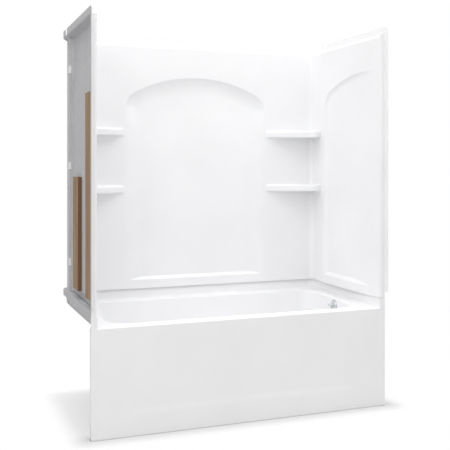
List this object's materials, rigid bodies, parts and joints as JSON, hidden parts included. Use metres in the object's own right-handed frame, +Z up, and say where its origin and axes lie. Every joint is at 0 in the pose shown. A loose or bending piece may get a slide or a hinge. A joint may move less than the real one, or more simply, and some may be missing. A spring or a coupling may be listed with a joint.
{
  "type": "tub and shower unit",
  "caption": "Alcove bath with apron, arched wall panels, moulded corner shelves, nailing flanges and a trip-lever waste and overflow.",
  "frame": {"origin": "middle of the bounding box, on the floor", "axes": "+X along the apron towards the drain end, +Y from the apron to the rear studs, +Z up"},
  "size_m": [1.53, 0.844, 1.96],
  "materials": {
    "moulding": "smooth white gel-coated moulding, semi-gloss",
    "clip": "plain white nylon",
    "plywood": "raw plywood with layered edges",
    "softwood": "raw sawn softwood",
    "chrome": "polished chrome plate",
    "rubber": "black moulded rubber",
    "brass": "plain drawn and cast brass"
  },
  "bodies": {
    "unit": {"bath": "moulding", "back_wall": "moulding", "left_end_wall": "moulding", "right_end_wall": "moulding", "left_joint_clips": "clip", "right_joint_clips": "clip", "left_tall_board": "plywood", "left_short_board": "plywood", "right_tall_board": "plywood", "right_short_board": "plywood", "lower_back_board": "plywood", "upper_back_board": "plywood", "base_board": "plywood", "left_runner": "softwood", "middle_runner": "softwood", "right_runner": "softwood", "overflow_cover": "chrome", "cover_screws": "chrome", "overflow_gasket": "rubber", "overflow_elbow": "brass", "overflow_tube": "brass", "waste_tee": "brass", "waste_arm": "brass", "drain_shoe": "brass", "shoe_gasket": "rubber", "drain_flange": "chrome", "drain_strainer": "chrome", "strainer_screw": "chrome", "tailpiece": "brass", "slip_nuts": "chrome", "slip_washers": "rubber"},
    "lever": {"trip_lever": "chrome"},
    "stopper": {"lifting_rod": "brass", "plunger": "brass"}
  },
  "joints": [
    {"name": "lever_turn", "type": "hinge", "parent": "unit", "child": "lever", "pos_m": [0.67102, -0.00538, 0.44987], "axis": [-0.0602, -0.9982, 0], "range_deg": [0, 40]},
    {"name": "stopper_lift", "type": "slide", "parent": "unit", "child": "stopper", "axis": [0, 0, 1], "range_m": [0, 0.031]}
  ],
  "couplings": [
    {"joint": "lever_turn", "follows": "stopper_lift", "rad_per_m": 22.51}
  ]
}
